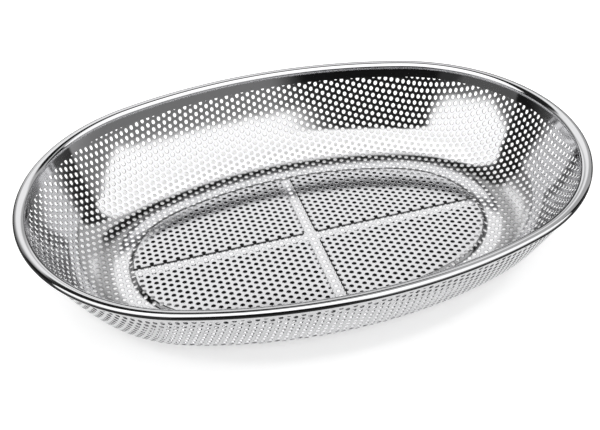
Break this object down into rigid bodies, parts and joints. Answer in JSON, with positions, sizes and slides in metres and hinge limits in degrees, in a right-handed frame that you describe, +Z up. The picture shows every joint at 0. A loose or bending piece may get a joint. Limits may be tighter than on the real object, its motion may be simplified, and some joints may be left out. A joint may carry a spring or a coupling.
{
  "type": "oval mesh basket",
  "caption": "Shallow oval basket of perforated steel sheet with a flared wall, a foot ring, four raised floor panels and a rolled rim.",
  "frame": {"origin": "centre of the oval at the level of the table, under the crossing of the two floor channels", "axes": "+X along the oval's long axis, +Y along its short axis, +Z up out of the open top"},
  "size_m": [0.295, 0.208, 0.048],
  "materials": {
    "sheet": "polished",
    "rim": "polished"
  },
  "bodies": {
    "root": {"bowl": "sheet", "rim": "rim"}
  },
  "joints": []
}
